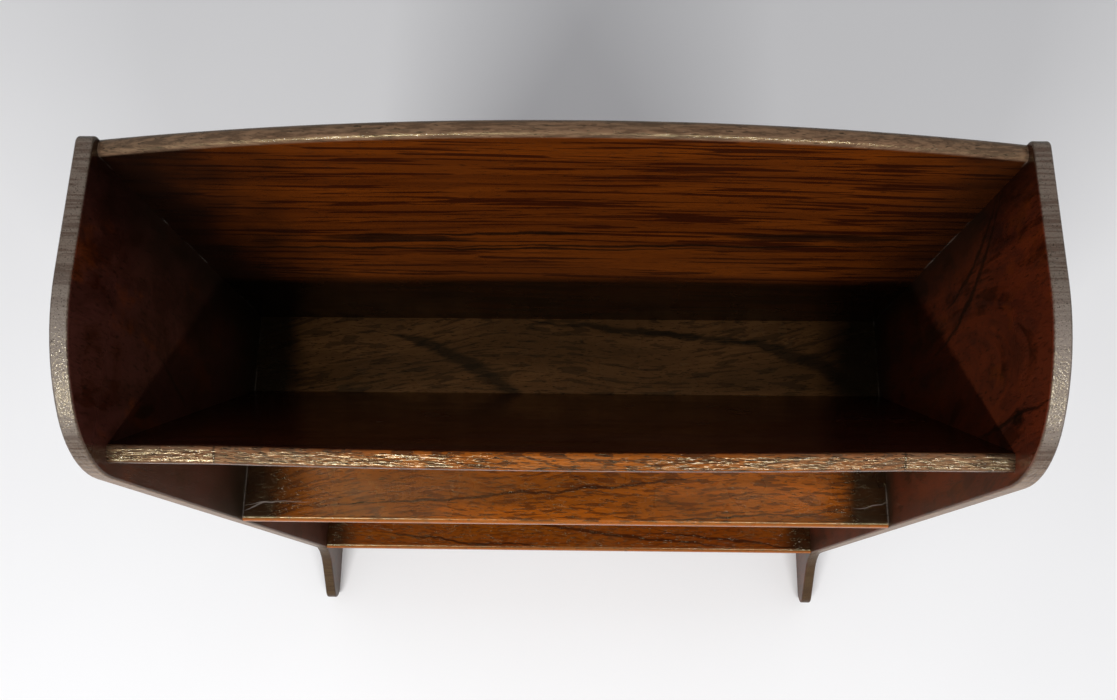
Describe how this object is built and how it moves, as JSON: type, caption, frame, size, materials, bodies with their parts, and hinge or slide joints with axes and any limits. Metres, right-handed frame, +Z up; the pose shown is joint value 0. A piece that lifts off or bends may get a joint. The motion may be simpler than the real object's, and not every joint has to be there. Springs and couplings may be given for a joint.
{
  "type": "magazine rack",
  "caption": "Dark oak magazine rack with shaped ends, a deep V trough between an arched back panel and a leaning front rail, and open shelf bays below.",
  "frame": {"origin": "on the floor, under the middle of the rack", "axes": "+X along the rack's width, -Y towards the front, +Z up"},
  "size_m": [0.61, 0.262, 0.773],
  "materials": {
    "end_boards": "dark stained oak, glossy varnish, edges worn grey-brown",
    "panel_boards": "stained oak with straight dark grain, glossy varnish",
    "shelf_boards": "stained oak with dark figure, glossy varnish",
    "screws": "aged brass, slotted",
    "pins": "dull steel",
    "blocks": "unfinished softwood"
  },
  "bodies": {
    "root": {"left_end": "end_boards", "right_end": "end_boards", "back_panel": "panel_boards", "front_rail": "panel_boards", "middle_shelf": "shelf_boards", "bottom_shelf": "shelf_boards", "back_panel_screws": "screws", "front_rail_screws": "screws", "left_end_pins": "pins", "right_end_pins": "pins", "left_glue_blocks": "blocks", "right_glue_blocks": "blocks"}
  },
  "joints": []
}
